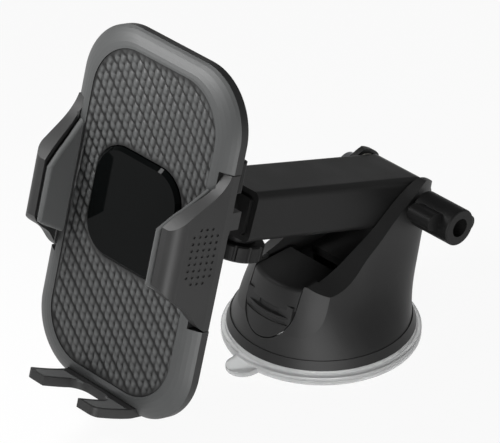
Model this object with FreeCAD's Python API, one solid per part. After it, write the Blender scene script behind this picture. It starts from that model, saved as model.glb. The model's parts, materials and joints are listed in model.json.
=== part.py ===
"""Car phone mount: a suction base, a telescopic arm and a clamping phone cradle.

Millimetres, +Z up. The origin is the centre of the suction face. The cradle faces -Y.
Every piece is one STEP file in parts/, named after the piece.
"""
import FreeCAD
import Part
import math
import os

os.makedirs("parts", exist_ok=True)
V = FreeCAD.Vector
X_AXIS, Y_AXIS, Z_AXIS = V(1, 0, 0), V(0, 1, 0), V(0, 0, 1)

# ---------------------------------------------------------------- fits
RUN = 0.05          # radial clearance of a shaft in its bore
SLIP = 0.3          # gap between pieces that slide past each other
BALL_GAP = 0.25     # gap between the ball joint's spherical shells

# ---------------------------------------------------------------- suction base
PAD_R = 34.0        # clear suction pad
PAD_T = 3.3
PAD_EDGE = 0.5
LIP_R = 32.5        # raised lip that the skirt ring sits on
LIP_T = 1.5
PAD_FLOOR = 1.2     # pad thickness under the plunger plate
TAB_W, TAB_REACH, TAB_T = 11.0, 41.2, 2.0
TAB_ANGLE = -92.0   # pull tab direction in the floor plane
SKIRT_R, SKIRT_T, SKIRT_TAPER = 32.2, 3.1, 1.2
SKIRT_BORE = 21.0
BODY_GROOVE = 0.4   # step between the skirt ring and the body above it
BODY_WALL = 2.6
SCREW_R, HEAD_R, HEAD_T = 1.25, 2.4, 1.3
BASE_SCREW_RING = 24.5
BASE_BOSS_R = 3.0

# yoke: two ears that carry the arm's pivot
PIVOT_Y, PIVOT_Z = 30.7, 43.0
EAR_IN, EAR_OUT = 12.7, 16.9
EAR_R = 9.6
BEVEL_DROP = 4.4    # how far the ear's outer edge lies under its inner edge
YOKE_FLOOR = 26.0   # floor between the ears
FLOOR_T = 3.0
CONE_TOP_Z, CONE_TOP_R = 30.0, 22.7

# lever, plunger and their spring
LEVER_HALF = 11.0
LEVER_TOP, LEVER_BOTTOM = 30.0, 11.4
LEVER_ROUND = 1.8   # radius of the lever's top rim
LEVER_PROUD = 0.6   # how far the lever stands out of the body
LEVER_BACK = 12.0   # depth from which the lever is narrowed to its tab
LEVER_T = 3.4
LEVER_GAP = 0.35
LEVER_SWING = 50.0
PIN_Z = 18.0
PIN_R = 1.5
CAM_R = 6.0
PLUNGE = 1.6        # plunger travel while the lever swings
CAM_GAP = 0.4
STEM_R = 3.4
PLUNGER_PLATE_R, PLUNGER_PLATE_T = 12.0, 1.4
BRIDGE_T = 2.0      # bridge in the body that the cam stands on

# ---------------------------------------------------------------- arm
ARM_TILT = 18.57
TUBE_W, TUBE_H, TUBE_WALL, TUBE_EDGE = 24.4, 17.4, 2.0, 2.5
TUBE_LEN = 77.6
TUBE_SOLID = 14.0   # length of the solid pivot end
PIVOT_BOLT_R = 3.0
WASHER_R = 8.0
SLIDER_REST = 15.0  # the slider's rear end when the arm is short
SLIDER_PROUD = 1.4  # slider's front end past the tube's
BALL_R = 8.5
BALL_REACH = 19.43  # ball centre past the tube's front end
NECK_R = 3.6
STUD_DEEP = 12.0
STUD_FLANGE_R, STUD_FLANGE_T = 5.6, 1.5
LOCK_BACK = 8.1     # lock knob's axis behind the tube's front end
LOCK_R, LOCK_T = 9.5, 5.7
LOCK_BOSS_R, LOCK_BOSS_T = 6.0, 3.0
LOCK_SCREW_R = 2.5
SHOE_R, SHOE_T = 4.0, 1.0
LOCK_NOTCHES = 12

# pivot knob
HUB_R, HUB_X0, HUB_X1 = 6.5, 17.4, 34.0
HUB_HOLE_R, HUB_HOLE_T = 3.3, 5.0
WING_R, WING_X0, WING_X1 = 12.0, 20.0, 30.0
WING_ANGLE = 156.0

# ---------------------------------------------------------------- cradle
LEAN = 15.24
FACE_W, FACE_H, FACE_R = 72.0, 121.0, 21.0
SIDE_T = 3.0
CROWN = 3.3         # height of the bezel's inner edge over its outline
PANEL_W, PANEL_H, PANEL_R = 56.6, 108.4, 17.0
PANEL_T, PANEL_SUNK, PANEL_FIT = 1.5, 0.3, 0.15
SHELF_T = 0.8       # bezel plate under the panel
POCKET_W, POCKET_H = 59.8, 112.0
NOTCH_X = 31.6      # clamp arm notches in the bezel's sides
ARM_LOW, ARM_HIGH = -22.5, 30.5

TRIG_W, TRIG_H, TRIG_U, TRIG_CORNER = 39.2, 37.4, 3.8, 11.5
TRIG_RISE, TRIG_FIT, TRIG_BEVEL = 1.6, 0.35, 1.2
TRIG_RIM, TRIG_RIM_T = 1.4, 1.3
TRIG_WALL = 1.6

CHASSIS_W, CHASSIS_H, CHASSIS_T = 56.0, 104.0, 1.2
RACK_T, RACK_GAP = 3.0, 0.6
MODULE, TEETH, PRESSURE = 1.0, 12, 25.0
ADDENDUM, DEDENDUM, BACKLASH = 0.8, 1.15, 0.12
RACK_BAR = 6.0
PINION_U = 4.0
CLAMP_TRAVEL = 16.0
PINION_PIN_R = 1.5

COVER_D = 13.5      # rear cover's back face behind the outline plane
COVER_WALL = 2.0
POST_X, POST_U, POST_R = 21.0, 43.0, 3.2
BALL_U, BALL_D = 1.8, -20.5
LINER_T, RING_T, CUP_T = 0.65, 0.65, 2.0
NUT_R, NUT_BACK = 15.0, 27.0
NUT_LIP_D = 4.2     # lip edge behind the ball centre
NUT_MOUTH = 9.4
NUT_RIBS = 18

JAW_D = 18.7        # clamp arms' front edge
JAW_RIM_X = 27.7
PAD_RUBBER, PAD_BACK, PAD_INSET = 2.2, 1.2, 1.6
DIMPLE_R, DIMPLE_DEEP, DIMPLE_PITCH = 0.5, 0.35, 2.3

COVER_STATIONS = [(-SIDE_T, 33.8, 58.3), (-8.0, 30.7, 57.2), (-10.0, 28.6, 56.6), (-COVER_D, 24.4, 55.0)]

BUTTON_U, BUTTON_H, BUTTON_D, BUTTON_T = 26.5, 11.0, -9.9, 2.6
BUTTON_OUT = 1.8
BUTTON_RIM, BUTTON_RIM_T = 1.2, 1.4
BUTTON_ROOM = 2.6   # free length of the release spring

FOOT_W, FOOT_T = 32.8, 3.1
FOOT_TIP, FOOT_GAP = 20.5, 16.4
FOOT_BACK = -7.8
FOOT_PAD_T = 0.6
STEM_W, STEM_T = 12.0, 2.4

# ---------------------------------------------------------------- shared places
SKIRT_Z0 = PAD_T + LIP_T
SKIRT_Z1 = SKIRT_Z0 + SKIRT_T
BODY_R = SKIRT_R - SKIRT_TAPER - BODY_GROOVE
BRIDGE_TOP = PIN_Z - CAM_R
PANEL_TOP = CROWN - PANEL_SUNK
PANEL_LOW = PANEL_TOP - PANEL_T
SHELF_LOW = PANEL_LOW - SHELF_T
CHASSIS_TOP = -SIDE_T
CHASSIS_LOW = CHASSIS_TOP - CHASSIS_T
RACK_TOP = CHASSIS_LOW - RACK_GAP
RACK_LOW = RACK_TOP - RACK_T
PITCH_R = MODULE * TEETH / 2
LINER_R = BALL_R + BALL_GAP
RING_R = LINER_R + LINER_T + BALL_GAP
CUP_R = RING_R + RING_T + BALL_GAP
CUP_OUT = CUP_R + CUP_T
BALL_S = TUBE_LEN + BALL_REACH
SLIDER_FRONT = TUBE_LEN + SLIDER_PROUD
LOCK_S = TUBE_LEN - LOCK_BACK
SLIDER_W = TUBE_W - 2 * (TUBE_WALL + SLIP)
SLIDER_H = TUBE_H - 2 * (TUBE_WALL + SLIP)
BORDER = FACE_W / 2 - PANEL_W / 2
BORDER_H = (FACE_H - PANEL_H) / 2 / BORDER

# the cradle hangs on the ball at the arm's end
TILT, LEANING = math.radians(ARM_TILT), math.radians(LEAN)
BALL_Y = PIVOT_Y - BALL_S * math.cos(TILT)
BALL_Z = PIVOT_Z + BALL_S * math.sin(TILT)
CRADLE_Y = BALL_Y + BALL_D * math.cos(LEANING) - BALL_U * math.sin(LEANING)
CRADLE_Z = BALL_Z - BALL_U * math.cos(LEANING) - BALL_D * math.sin(LEANING)


# ---------------------------------------------------------------- helpers
def box(x0, x1, y0, y1, z0, z1):
    return Part.makeBox(x1 - x0, y1 - y0, z1 - z0, V(x0, y0, z0))


def rod(radius, start, end):
    along = end - start
    return Part.makeCylinder(radius, along.Length, start, along)


def rounded(half_w, low, high, corner, level):
    """Closed wire of a rounded rectangle in the XZ plane at y = level."""
    r = min(corner, half_w - 0.01, (high - low) / 2 - 0.01)
    k = r * (1 - math.sqrt(0.5))
    w = half_w
    corners = [(w, high, 1, 1), (-w, high, -1, 1), (-w, low, -1, -1), (w, low, 1, -1)]
    stops = []
    for x, z, sx, sz in corners:
        a, b = V(x, level, z - sz * r), V(x - sx * r, level, z)
        mid = V(x - sx * k, level, z - sz * k)
        if sx * sz < 0:
            a, b = b, a
        stops.append((a, mid, b))
    edges = []
    for i, (a, mid, b) in enumerate(stops):
        edges.append(Part.Arc(a, mid, b).toShape())
        edges.append(Part.makeLine(b, stops[(i + 1) % 4][0]))
    return Part.Wire(edges)


def slab(half_w, low, high, corner, d0, d1):
    """Rounded plate in cradle coordinates between depths d0 and d1."""
    wire = rounded(half_w, low, high, corner, -d0)
    return Part.Face(wire).extrude(V(0, -(d1 - d0), 0))


def cbox(x0, x1, u0, u1, d0, d1):
    """Box in cradle coordinates: x, height u, depth d towards the phone."""
    return box(x0, x1, -d1, -d0, u0, u1)


def cbar(x, u, d0, d1, radius):
    """Cylinder along the cradle's depth."""
    return rod(radius, V(x, -d0, u), V(x, -d1, u))


def curve(points):
    spline = Part.BSplineCurve()
    spline.interpolate(points)
    return spline.toShape()


def polygon(points):
    return Part.makePolygon(points + [points[0]])


def revolve(points, axis=Z_AXIS, at=V(0, 0, 0)):
    return Part.Face(polygon(points)).revolve(at, axis, 360)


def ring_of(shape, count, axis=Z_AXIS, at=V(0, 0, 0), start=0.0):
    out = []
    for i in range(count):
        copy = shape.copy()
        copy.rotate(at, axis, start + 360.0 * i / count)
        out.append(copy)
    return out


def coil(radius, wire, turns, length):
    """Compression spring along +Z from z = 0, ends included in its length."""
    rise = length - 2 * wire
    helix = Part.makeLongHelix(rise / turns, rise, radius)
    section = Part.Wire(Part.makeCircle(wire, V(radius, 0, 0), Y_AXIS))
    spring = Part.Wire(helix.Edges).makePipeShell([section], True, True)
    spring.translate(V(0, 0, wire))
    return spring


def mirrored(shape):
    return shape.mirror(V(0, 0, 0), X_AXIS)


def in_cradle(shape):
    out = shape.copy()
    out.rotate(V(0, 0, 0), X_AXIS, -LEAN)
    out.translate(V(0, CRADLE_Y, CRADLE_Z))
    return out


def in_arm(shape):
    out = shape.copy()
    out.rotate(V(0, 0, 0), X_AXIS, -ARM_TILT)
    out.translate(V(0, PIVOT_Y, PIVOT_Z))
    return out


def save(name, shape):
    solids = shape.Solids
    kept = solids[0] if len(solids) == 1 else Part.makeCompound(solids)
    if not solids or not kept.isValid():
        print("CHECK", name, len(solids), kept.isValid())
    kept.exportStep(f"parts/{name}.step")
    print(f"{name:24s} {len(solids)} solid {kept.Volume:9.1f} mm3")


# ---------------------------------------------------------------- suction base pieces
def suction_pad():
    edge = PAD_R - PAD_EDGE
    points = [V(0, 0, 0), V(edge, 0, 0), V(PAD_R, 0, PAD_EDGE), V(PAD_R, 0, PAD_T - PAD_EDGE),
              V(edge, 0, PAD_T), V(LIP_R, 0, PAD_T), V(LIP_R, 0, SKIRT_Z0),
              V(PLUNGER_PLATE_R + SLIP, 0, SKIRT_Z0), V(PLUNGER_PLATE_R + SLIP, 0, PAD_FLOOR),
              V(0, 0, PAD_FLOOR)]
    pad = revolve(points)
    tip = TAB_REACH - TAB_W / 2
    tab = box(LIP_R - 4, tip, -TAB_W / 2, TAB_W / 2, 0, TAB_T)
    tab = tab.fuse(rod(TAB_W / 2, V(tip, 0, 0), V(tip, 0, TAB_T)))
    tab.rotate(V(0, 0, 0), Z_AXIS, TAB_ANGLE)
    return pad.fuse(tab).removeSplitter()


def base_screw_places():
    return [V(BASE_SCREW_RING * math.cos(a), BASE_SCREW_RING * math.sin(a), 0)
            for a in (math.radians(30), math.radians(150), math.radians(270 - 48), math.radians(318))]


def skirt_ring():
    top_r = SKIRT_R - SKIRT_TAPER
    ring = revolve([V(SKIRT_BORE, 0, SKIRT_Z0), V(SKIRT_R, 0, SKIRT_Z0),
                    V(top_r, 0, SKIRT_Z1), V(SKIRT_BORE, 0, SKIRT_Z1)])
    for at in base_screw_places():
        ring = ring.cut(rod(SCREW_R + RUN, at, at + V(0, 0, SKIRT_Z1 + 1)))
        ring = ring.cut(rod(HEAD_R + RUN, at, at + V(0, 0, SKIRT_Z0 + HEAD_T + RUN)))
    return ring


def base_screws():
    parts = []
    for at in base_screw_places():
        head = rod(HEAD_R, at + V(0, 0, SKIRT_Z0), at + V(0, 0, SKIRT_Z0 + HEAD_T))
        parts.append(head.fuse(rod(SCREW_R, at + V(0, 0, SKIRT_Z0), at + V(0, 0, SKIRT_Z1 + 4.5))))
    return Part.makeCompound(parts)


def side_section(z, half_w, front, back, square):
    """Closed smooth outline at height z; square runs from 0, an ellipse, to 1, a rounded box."""
    power = 2 / (2 + 2.6 * square)
    points = []
    for i in range(24):
        a = math.radians(15 * i)
        c, s = math.cos(a), math.sin(a)
        x = half_w * math.copysign(abs(c) ** power, c)
        depth = back if s > 0 else front
        points.append(V(x, depth * math.copysign(abs(s) ** power, s), z))
    ring = Part.BSplineCurve()
    ring.interpolate(Points=points, PeriodicFlag=True)
    return Part.Wire(ring.toShape())


def cone_r(z):
    share = (z - SKIRT_Z1) / (CONE_TOP_Z - SKIRT_Z1)
    return BODY_R + (CONE_TOP_R - BODY_R) * share


def lever_front(grow):
    """Space in front of LEVER_BACK inside the lever's outline: straight sides over a half-round tab."""
    half, hub = LEVER_HALF + grow, LEVER_BOTTOM + LEVER_HALF
    tab = rod(half, V(0, -40, hub), V(0, -LEVER_BACK, hub))
    return tab.fuse(box(-half, half, -40, -LEVER_BACK, hub, 40))


def front_cone(low, high, drop, proud=0.0):
    """Cone that the lever's face lies on, a little larger at its foot."""
    return Part.makeCone(cone_r(low) - drop + proud, cone_r(high) - drop, high - low, V(0, 0, low))


def body_outside(inset=0.0, low=None):
    """Skin of the yoke, flaring from the two ears to the round skirt."""
    low = SKIRT_Z1 if low is None else low
    ear = EAR_OUT - inset
    lean = (PIVOT_Y + EAR_R - BODY_R) / (PIVOT_Z - SKIRT_Z1)
    sections = []
    for share, flare, square in ((0, 1, 0), (0.09, 0.80, 0.05), (0.2, 0.55, 0.18), (0.36, 0.29, 0.45),
                                 (0.58, 0.09, 0.8), (0.78, 0.01, 1), (1, 0, 1)):
        z = low + (PIVOT_Z + EAR_R + 2 - low) * share
        half = ear + (BODY_R - inset - ear) * flare
        back = BODY_R + lean * (z - SKIRT_Z1) - inset
        sections.append(side_section(z, half, cone_r(min(z, CONE_TOP_Z + 6)) - inset, back, square))
    return Part.makeLoft(sections, True, False)


def ear_top(inner):
    """Closed wire over the ears' top edge; the outer one lies lower by the bevel."""
    x, drop = (EAR_IN - 0.5, 0) if inner else (EAR_OUT + 4, BEVEL_DROP)
    rise = [(-24, 31.4), (-12.2, 31.7), (-6.2, 33.4), (3.0, 37.6), (9.9, 40.9), (16.8, 45.5),
            (PIVOT_Y - 2.5, PIVOT_Z + EAR_R - 0.8)]
    edge = [V(x, y, z - drop) for y, z in rise]
    over = V(x, PIVOT_Y + 3, PIVOT_Z + EAR_R + 0.2 - 0.3 * drop)
    back = V(x, PIVOT_Y + EAR_R + 8, PIVOT_Z + EAR_R - 4 - 0.3 * drop)
    top = [V(x, PIVOT_Y + EAR_R + 8, 70), V(x, -40, 70), V(x, -40, edge[0].z)]
    loop = [curve(edge + [over]), Part.makeLine(over, back), Part.makeLine(back, top[0]),
            Part.makeLine(top[0], top[1]), Part.makeLine(top[1], top[2]), Part.makeLine(top[2], edge[0])]
    return Part.Wire(loop)


def over_ears():
    """Space over the ears' bevelled top edges, on both sides."""
    middle = Part.Face(ear_top(True)).extrude(V(-2 * EAR_IN + 1, 0, 0))
    slope = Part.makeLoft([ear_top(True), ear_top(False)], True, True)
    return middle.fuse(slope).fuse(mirrored(slope))


def yoke_body():
    top = PIVOT_Z + EAR_R + 2
    body = body_outside()
    behind = box(-40, 40, 0, 60, SKIRT_Z1 - 1, top)
    body = body.common(front_cone(SKIRT_Z1, top, LEVER_PROUD, 2 * LEVER_PROUD).fuse(behind))
    inside = body_outside(BODY_WALL, SKIRT_Z1 - 0.01)
    hollow = inside.common(box(-40, 40, -40, 40, SKIRT_Z1 - 1, YOKE_FLOOR - FLOOR_T))
    body = body.cut(hollow)
    body = body.cut(box(-EAR_IN, EAR_IN, -14, 60, YOKE_FLOOR, 80))
    body = body.cut(over_ears())
    pivot = V(0, PIVOT_Y, PIVOT_Z)
    behind = box(-30, 30, PIVOT_Y, 60, PIVOT_Z, 80).cut(rod(EAR_R, pivot - V(35, 0, 0), pivot + V(35, 0, 0)))
    body = body.cut(behind)
    # window for the lever, with the bridge that its cam stands on
    window = LEVER_HALF + LEVER_GAP
    body = body.cut(lever_front(LEVER_GAP))
    body = body.cut(box(-window, window, -LEVER_BACK - 2, 7, LEVER_BOTTOM - LEVER_GAP, 40))
    bridge = box(-window - 4, window + 4, -4.5, 7, BRIDGE_TOP - BRIDGE_T, BRIDGE_TOP)
    bridge = bridge.fuse(box(-window - 4, -window, -4.5, 7, BRIDGE_TOP - BRIDGE_T, YOKE_FLOOR - 1))
    bridge = bridge.fuse(box(window, window + 4, -4.5, 7, BRIDGE_TOP - BRIDGE_T, YOKE_FLOOR - 1))
    body = body.fuse(bridge)
    body = body.cut(rod(STEM_R + RUN, V(0, 0, 0), V(0, 0, BRIDGE_TOP + 1)))
    for at in base_screw_places():
        boss = rod(BASE_BOSS_R, at + V(0, 0, SKIRT_Z1), at + V(0, 0, SKIRT_Z1 + 6))
        body = body.fuse(boss.common(body_outside(0.5)))
        body = body.cut(rod(SCREW_R + RUN, at, at + V(0, 0, SKIRT_Z1 + 5)))
    body = body.cut(rod(PIVOT_BOLT_R + RUN, pivot - V(30, 0, 0), pivot + V(30, 0, 0)))
    return body


def lever_profile():
    """Side view of the lever's cheek: cam under the pin, arm to the front wall."""
    pin = V(0, 0, PIN_Z)
    points = []
    for step in range(0, 16):
        turn = -20 + 10 * step
        lift = PLUNGE * min(max(turn / LEVER_SWING, 0), 1.25)
        a = math.radians(turn)
        reach = CAM_R - CAM_GAP - lift
        points.append(pin + V(0, reach * math.sin(a), -reach * math.cos(a)))
    points.append(V(0, -2, LEVER_TOP - LEVER_T - 2.6))
    points.append(V(0, -cone_r(24) + 1.2, LEVER_TOP - LEVER_T - 2.6))
    points.append(V(0, -cone_r(18) + 1.2, PIN_Z - 3.5))
    return polygon(points)


def suction_lever():
    cheek = Part.Face(lever_profile()).extrude(V(LEVER_HALF - STEM_R - 1.6, 0, 0))
    cheek.translate(V(STEM_R + 1.2, 0, 0))
    behind = box(0, LEVER_HALF, -LEVER_BACK, 20, 0, LEVER_TOP)
    cheek = cheek.common(lever_front(0).fuse(behind))
    outer = front_cone(SKIRT_Z1, LEVER_TOP, 0)
    rim = [e for e in outer.Edges if e.BoundBox.ZMin > LEVER_TOP - 0.1]
    outer = outer.makeFillet(LEVER_ROUND, rim)
    inner = front_cone(SKIRT_Z1, LEVER_TOP - 1, LEVER_T)
    shell = outer.cut(inner).common(lever_front(0))
    for z, deep, tall in ((21.3, 1.5, 1.3), (18.6, 0.7, 1.1)):
        r = cone_r(z)
        groove = Part.makeTorus(r + 0.6, deep + 0.6, V(0, 0, z))
        groove = groove.common(box(-40, 40, -40, 0, z - tall, z + tall))
        shell = shell.cut(groove)
    top = box(-LEVER_HALF, LEVER_HALF, -40, -4, LEVER_TOP - 2.6, LEVER_TOP).common(outer)
    lever = shell.fuse(top).fuse(cheek.fuse(mirrored(cheek)))
    lever = lever.cut(rod(PIN_R + RUN, V(-30, 0, PIN_Z), V(30, 0, PIN_Z)))
    return lever.removeSplitter()


def lever_pin():
    return rod(PIN_R, V(-LEVER_HALF + 0.4, 0, PIN_Z), V(LEVER_HALF - 0.4, 0, PIN_Z))


def plunger():
    low = PAD_FLOOR + SLIP + PLUNGE
    plate = rod(PLUNGER_PLATE_R, V(0, 0, low), V(0, 0, low + PLUNGER_PLATE_T))
    stem = rod(STEM_R, V(0, 0, low), V(0, 0, PIN_Z + 3.2))
    return plate.fuse(stem).cut(rod(PIN_R + RUN, V(-30, 0, PIN_Z), V(30, 0, PIN_Z)))


def plunger_spring():
    low = PAD_FLOOR + SLIP + PLUNGE + PLUNGER_PLATE_T
    spring = coil(STEM_R + 1.6, 0.45, 3, BRIDGE_TOP - BRIDGE_T - low - 0.2)
    spring.translate(V(0, 0, low + 0.1))
    return spring


# ---------------------------------------------------------------- pivot pieces
def pivot_bolt():
    head_x = -EAR_OUT - 3.2
    bolt = rod(PIVOT_BOLT_R, V(head_x + 1, 0, 0), V(HUB_X1 - HUB_HOLE_T - 2, 0, 0))
    head = rod(5.6, V(head_x, 0, 0), V(-EAR_OUT - 0.05, 0, 0))
    head = head.cut(box(head_x - 1, head_x + 1.4, -0.6, 0.6, -4, 4))
    shape = bolt.fuse(head)
    shape.translate(V(0, PIVOT_Y, PIVOT_Z))
    return shape


def pivot_knob():
    hub = rod(HUB_R, V(HUB_X0, 0, 0), V(HUB_X1, 0, 0))
    hub = hub.cut(rod(HUB_HOLE_R, V(HUB_X1 - HUB_HOLE_T, 0, 0), V(HUB_X1 + 1, 0, 0)))
    rim = hub.Edges
    outer = [e for e in rim if abs(e.BoundBox.XMin - HUB_X1) < 0.01 and e.BoundBox.ZLength > 2 * HUB_R - 0.1]
    hub = hub.makeFillet(0.6, outer)
    wing = box(WING_X0, WING_X1, 0, WING_R - 3, -3.0, 3.0)
    wing = wing.fuse(rod(3.0, V(WING_X0, WING_R - 3, 0), V(WING_X1, WING_R - 3, 0)))
    wing = wing.cut(rod(HUB_R - 2, V(WING_X0 - 1, 0, 0), V(WING_X1 + 1, 0, 0)))
    knob = hub
    for side in ring_of(wing, 2, X_AXIS, V(0, 0, 0), WING_ANGLE):
        knob = knob.fuse(side)
    knob = knob.cut(rod(PIVOT_BOLT_R + RUN, V(0, 0, 0), V(HUB_X1 - HUB_HOLE_T - 1.5, 0, 0)))
    knob = knob.removeSplitter()
    knob.translate(V(0, PIVOT_Y, PIVOT_Z))
    return knob


def friction_washers():
    gap = EAR_IN - TUBE_W / 2
    start = TUBE_W / 2 + RUN
    disc = rod(WASHER_R, V(start, 0, 0), V(start + gap - 2 * RUN, 0, 0))
    disc = disc.cut(rod(PIVOT_BOLT_R + RUN, V(0, 0, 0), V(20, 0, 0)))
    pair = Part.makeCompound([disc, mirrored(disc)])
    pair.translate(V(0, PIVOT_Y, PIVOT_Z))
    return pair


# ---------------------------------------------------------------- arm pieces
def bar(half_w, half_h, corner, s0, s1):
    wire = rounded(half_w, -half_h, half_h, corner, -s0)
    return Part.Face(wire).extrude(V(0, -(s1 - s0), 0))


def outer_tube():
    half = TUBE_H / 2
    tube = bar(TUBE_W / 2, half, TUBE_EDGE, -half, TUBE_LEN)
    nose = rod(half, V(-20, 0, 0), V(20, 0, 0)).fuse(box(-20, 20, -TUBE_LEN - 1, 0, -half, half))
    tube = tube.common(nose)
    core = bar(TUBE_W / 2 - TUBE_WALL, half - TUBE_WALL, TUBE_EDGE - 1, TUBE_SOLID, TUBE_LEN + 1)
    tube = tube.cut(core)
    tube = tube.cut(rod(PIVOT_BOLT_R + RUN, V(-20, 0, 0), V(20, 0, 0)))
    boss = rod(LOCK_BOSS_R, V(0, -LOCK_S, -half - LOCK_BOSS_T), V(0, -LOCK_S, -half + 0.5))
    tube = tube.fuse(boss)
    tube = tube.cut(rod(LOCK_SCREW_R + RUN, V(0, -LOCK_S, -half - LOCK_BOSS_T - 1), V(0, -LOCK_S, -half + 3)))
    seat = -half + TUBE_WALL
    tube = tube.cut(rod(SHOE_R + RUN, V(0, -LOCK_S, seat - SHOE_T), V(0, -LOCK_S, seat + 0.5)))
    return tube


def inner_slider():
    slider = bar(SLIDER_W / 2, SLIDER_H / 2, TUBE_EDGE - 1.3, SLIDER_REST, SLIDER_FRONT)
    bore = rod(NECK_R + RUN, V(0, -SLIDER_FRONT - 1, 0), V(0, -SLIDER_FRONT + STUD_DEEP, 0))
    slider = slider.cut(bore)
    pocket = bar(SLIDER_W / 2 - 2, SLIDER_H / 2 - 2, 1, SLIDER_REST - 1, SLIDER_FRONT - STUD_DEEP - 6)
    return slider.cut(pocket)


def ball_stud():
    stem = rod(NECK_R, V(0, -SLIDER_FRONT + STUD_DEEP - 0.1, 0), V(0, -BALL_S, 0))
    flange = rod(STUD_FLANGE_R, V(0, -SLIDER_FRONT, 0), V(0, -SLIDER_FRONT - STUD_FLANGE_T, 0))
    ball = Part.makeSphere(BALL_R, V(0, -BALL_S, 0))
    return stem.fuse(flange).fuse(ball)


def clamp_shoe():
    seat = -TUBE_H / 2 + TUBE_WALL
    return rod(SHOE_R, V(0, -LOCK_S, seat - SHOE_T + RUN), V(0, -LOCK_S, seat + SLIP - RUN))


def lock_knob():
    top = -TUBE_H / 2 - LOCK_BOSS_T - 0.1
    knob = rod(LOCK_R, V(0, -LOCK_S, top - LOCK_T), V(0, -LOCK_S, top))
    knob = knob.makeChamfer(0.5, [e for e in knob.Edges if abs(e.BoundBox.ZLength) < 0.01])
    notch = rod(0.8, V(LOCK_R + 0.35, -LOCK_S, top - LOCK_T - 1), V(LOCK_R + 0.35, -LOCK_S, top + 1))
    for cut in ring_of(notch, LOCK_NOTCHES, Z_AXIS, V(0, -LOCK_S, 0), 15):
        knob = knob.cut(cut)
    tip = -TUBE_H / 2 + TUBE_WALL - SHOE_T - RUN
    return knob.fuse(rod(LOCK_SCREW_R, V(0, -LOCK_S, top - 1), V(0, -LOCK_S, tip)))


# ---------------------------------------------------------------- cradle: gears
def rack_teeth(x0, count):
    """Row of teeth pointing down from z = 0 at the pitch line."""
    lean = math.tan(math.radians(PRESSURE))
    pitch = math.pi * MODULE
    half = pitch / 4 - BACKLASH / 2
    teeth = []
    for i in range(count):
        mid = x0 + pitch * i
        points = [V(mid - half - DEDENDUM * lean, -RACK_LOW, DEDENDUM),
                  V(mid - half + ADDENDUM * lean, -RACK_LOW, -ADDENDUM),
                  V(mid + half - ADDENDUM * lean, -RACK_LOW, -ADDENDUM),
                  V(mid + half + DEDENDUM * lean, -RACK_LOW, DEDENDUM)]
        teeth.append(Part.Face(polygon(points)).extrude(V(0, -RACK_T, 0)))
    return teeth


def pinion():
    base_r = PITCH_R * math.cos(math.radians(PRESSURE))
    tip_r, root_r = PITCH_R + ADDENDUM, PITCH_R - DEDENDUM
    inv = math.tan(math.radians(PRESSURE)) - math.radians(PRESSURE)
    half = math.pi / (2 * TEETH) - BACKLASH / (2 * PITCH_R) + inv
    top = math.sqrt((tip_r / base_r) ** 2 - 1)
    flank = []
    for i in range(7):
        roll = top * i / 6
        flank.append((base_r * math.sqrt(1 + roll * roll), half - (roll - math.atan(roll))))
    gear = rod(root_r, V(0, -RACK_LOW, 0), V(0, -RACK_TOP, 0))
    outline = [(root_r - 0.4, flank[0][1])] + flank
    points = [V(r * math.sin(a), -RACK_LOW, r * math.cos(a)) for r, a in outline]
    points += [V(-p.x, p.y, p.z) for p in reversed(points)]
    tooth = Part.Face(polygon(points)).extrude(V(0, -RACK_T, 0))
    for copy in ring_of(tooth, TEETH, Y_AXIS):
        gear = gear.fuse(copy)
    gear = gear.cut(rod(PINION_PIN_R + RUN, V(0, 30, 0), V(0, -30, 0)))
    gear.translate(V(0, 0, PINION_U))
    return gear.removeSplitter()


def pinion_pin():
    low = BALL_D + math.sqrt(CUP_OUT ** 2 - (PINION_U - BALL_U) ** 2)
    return cbar(0, PINION_U, low + 0.15, CHASSIS_TOP - 0.1, PINION_PIN_R)


# ---------------------------------------------------------------- cradle: clamp arms
def jaw_outline(pad):
    """Side view of a clamp arm, or of its rubber pad, in the YZ plane of the cradle."""
    if pad:
        low = [(-15, 3.7), (-12.4, 9.5), (-10, 15), (-8, JAW_D)]
        high = [(11, JAW_D), (15.5, 14), (18.6, 10), (24.2, 3.7)]
        bottom = []
    else:
        low = [(ARM_LOW, -0.5), (-20, 3), (-15, 8), (-12, 13), (-7, JAW_D)]
        high = [(12.5, JAW_D), (17, 14), (20, 10), (24, 5), (ARM_HIGH, 0.8)]
        bottom = [(ARM_HIGH, -SIDE_T + SLIP), (ARM_LOW, -SIDE_T + SLIP)]
    low = [V(0, -d, u) for u, d in low]
    high = [V(0, -d, u) for u, d in high]
    bottom = [V(0, -d, u) for u, d in bottom]
    edges = [curve(low), Part.makeLine(low[-1], high[0]), curve(high)]
    ends = [high[-1]] + bottom + [low[0]]
    edges += [Part.makeLine(a, b) for a, b in zip(ends, ends[1:])]
    return Part.Wire(edges)


def pad_x(d, deep=0.0):
    """Inner face of the rubber pad at depth d, or deep under it."""
    return 28.5 - (28.5 - 24.3) * (d - CROWN) / (JAW_D - CROWN) + deep


def jaw_section():
    """Cut across a clamp arm: leaning outer face, rounded front corner, leaning seat."""
    half = FACE_W / 2
    seat = PAD_RUBBER + PAD_BACK
    low, foot = CROWN + 0.4, NOTCH_X + SLIP
    a, mid, b = V(34.5, -13.6, 0), V(33.2, -17.2, 0), V(JAW_RIM_X + 2.2, -JAW_D, 0)
    points = [V(half, SIDE_T - SLIP, 0), V(half, 0, 0), a]
    edges = [Part.makeLine(p, q) for p, q in zip(points, points[1:])]
    edges.append(Part.Arc(a, mid, b).toShape())
    rest = [b, V(pad_x(JAW_D, seat), -JAW_D, 0), V(pad_x(low, seat), -low, 0), V(foot + 0.6, -low, 0),
            V(foot, -low + 0.6, 0), V(foot, SIDE_T - SLIP, 0), points[0]]
    edges += [Part.makeLine(p, q) for p, q in zip(rest, rest[1:])]
    return Part.Wire(edges)


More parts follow.
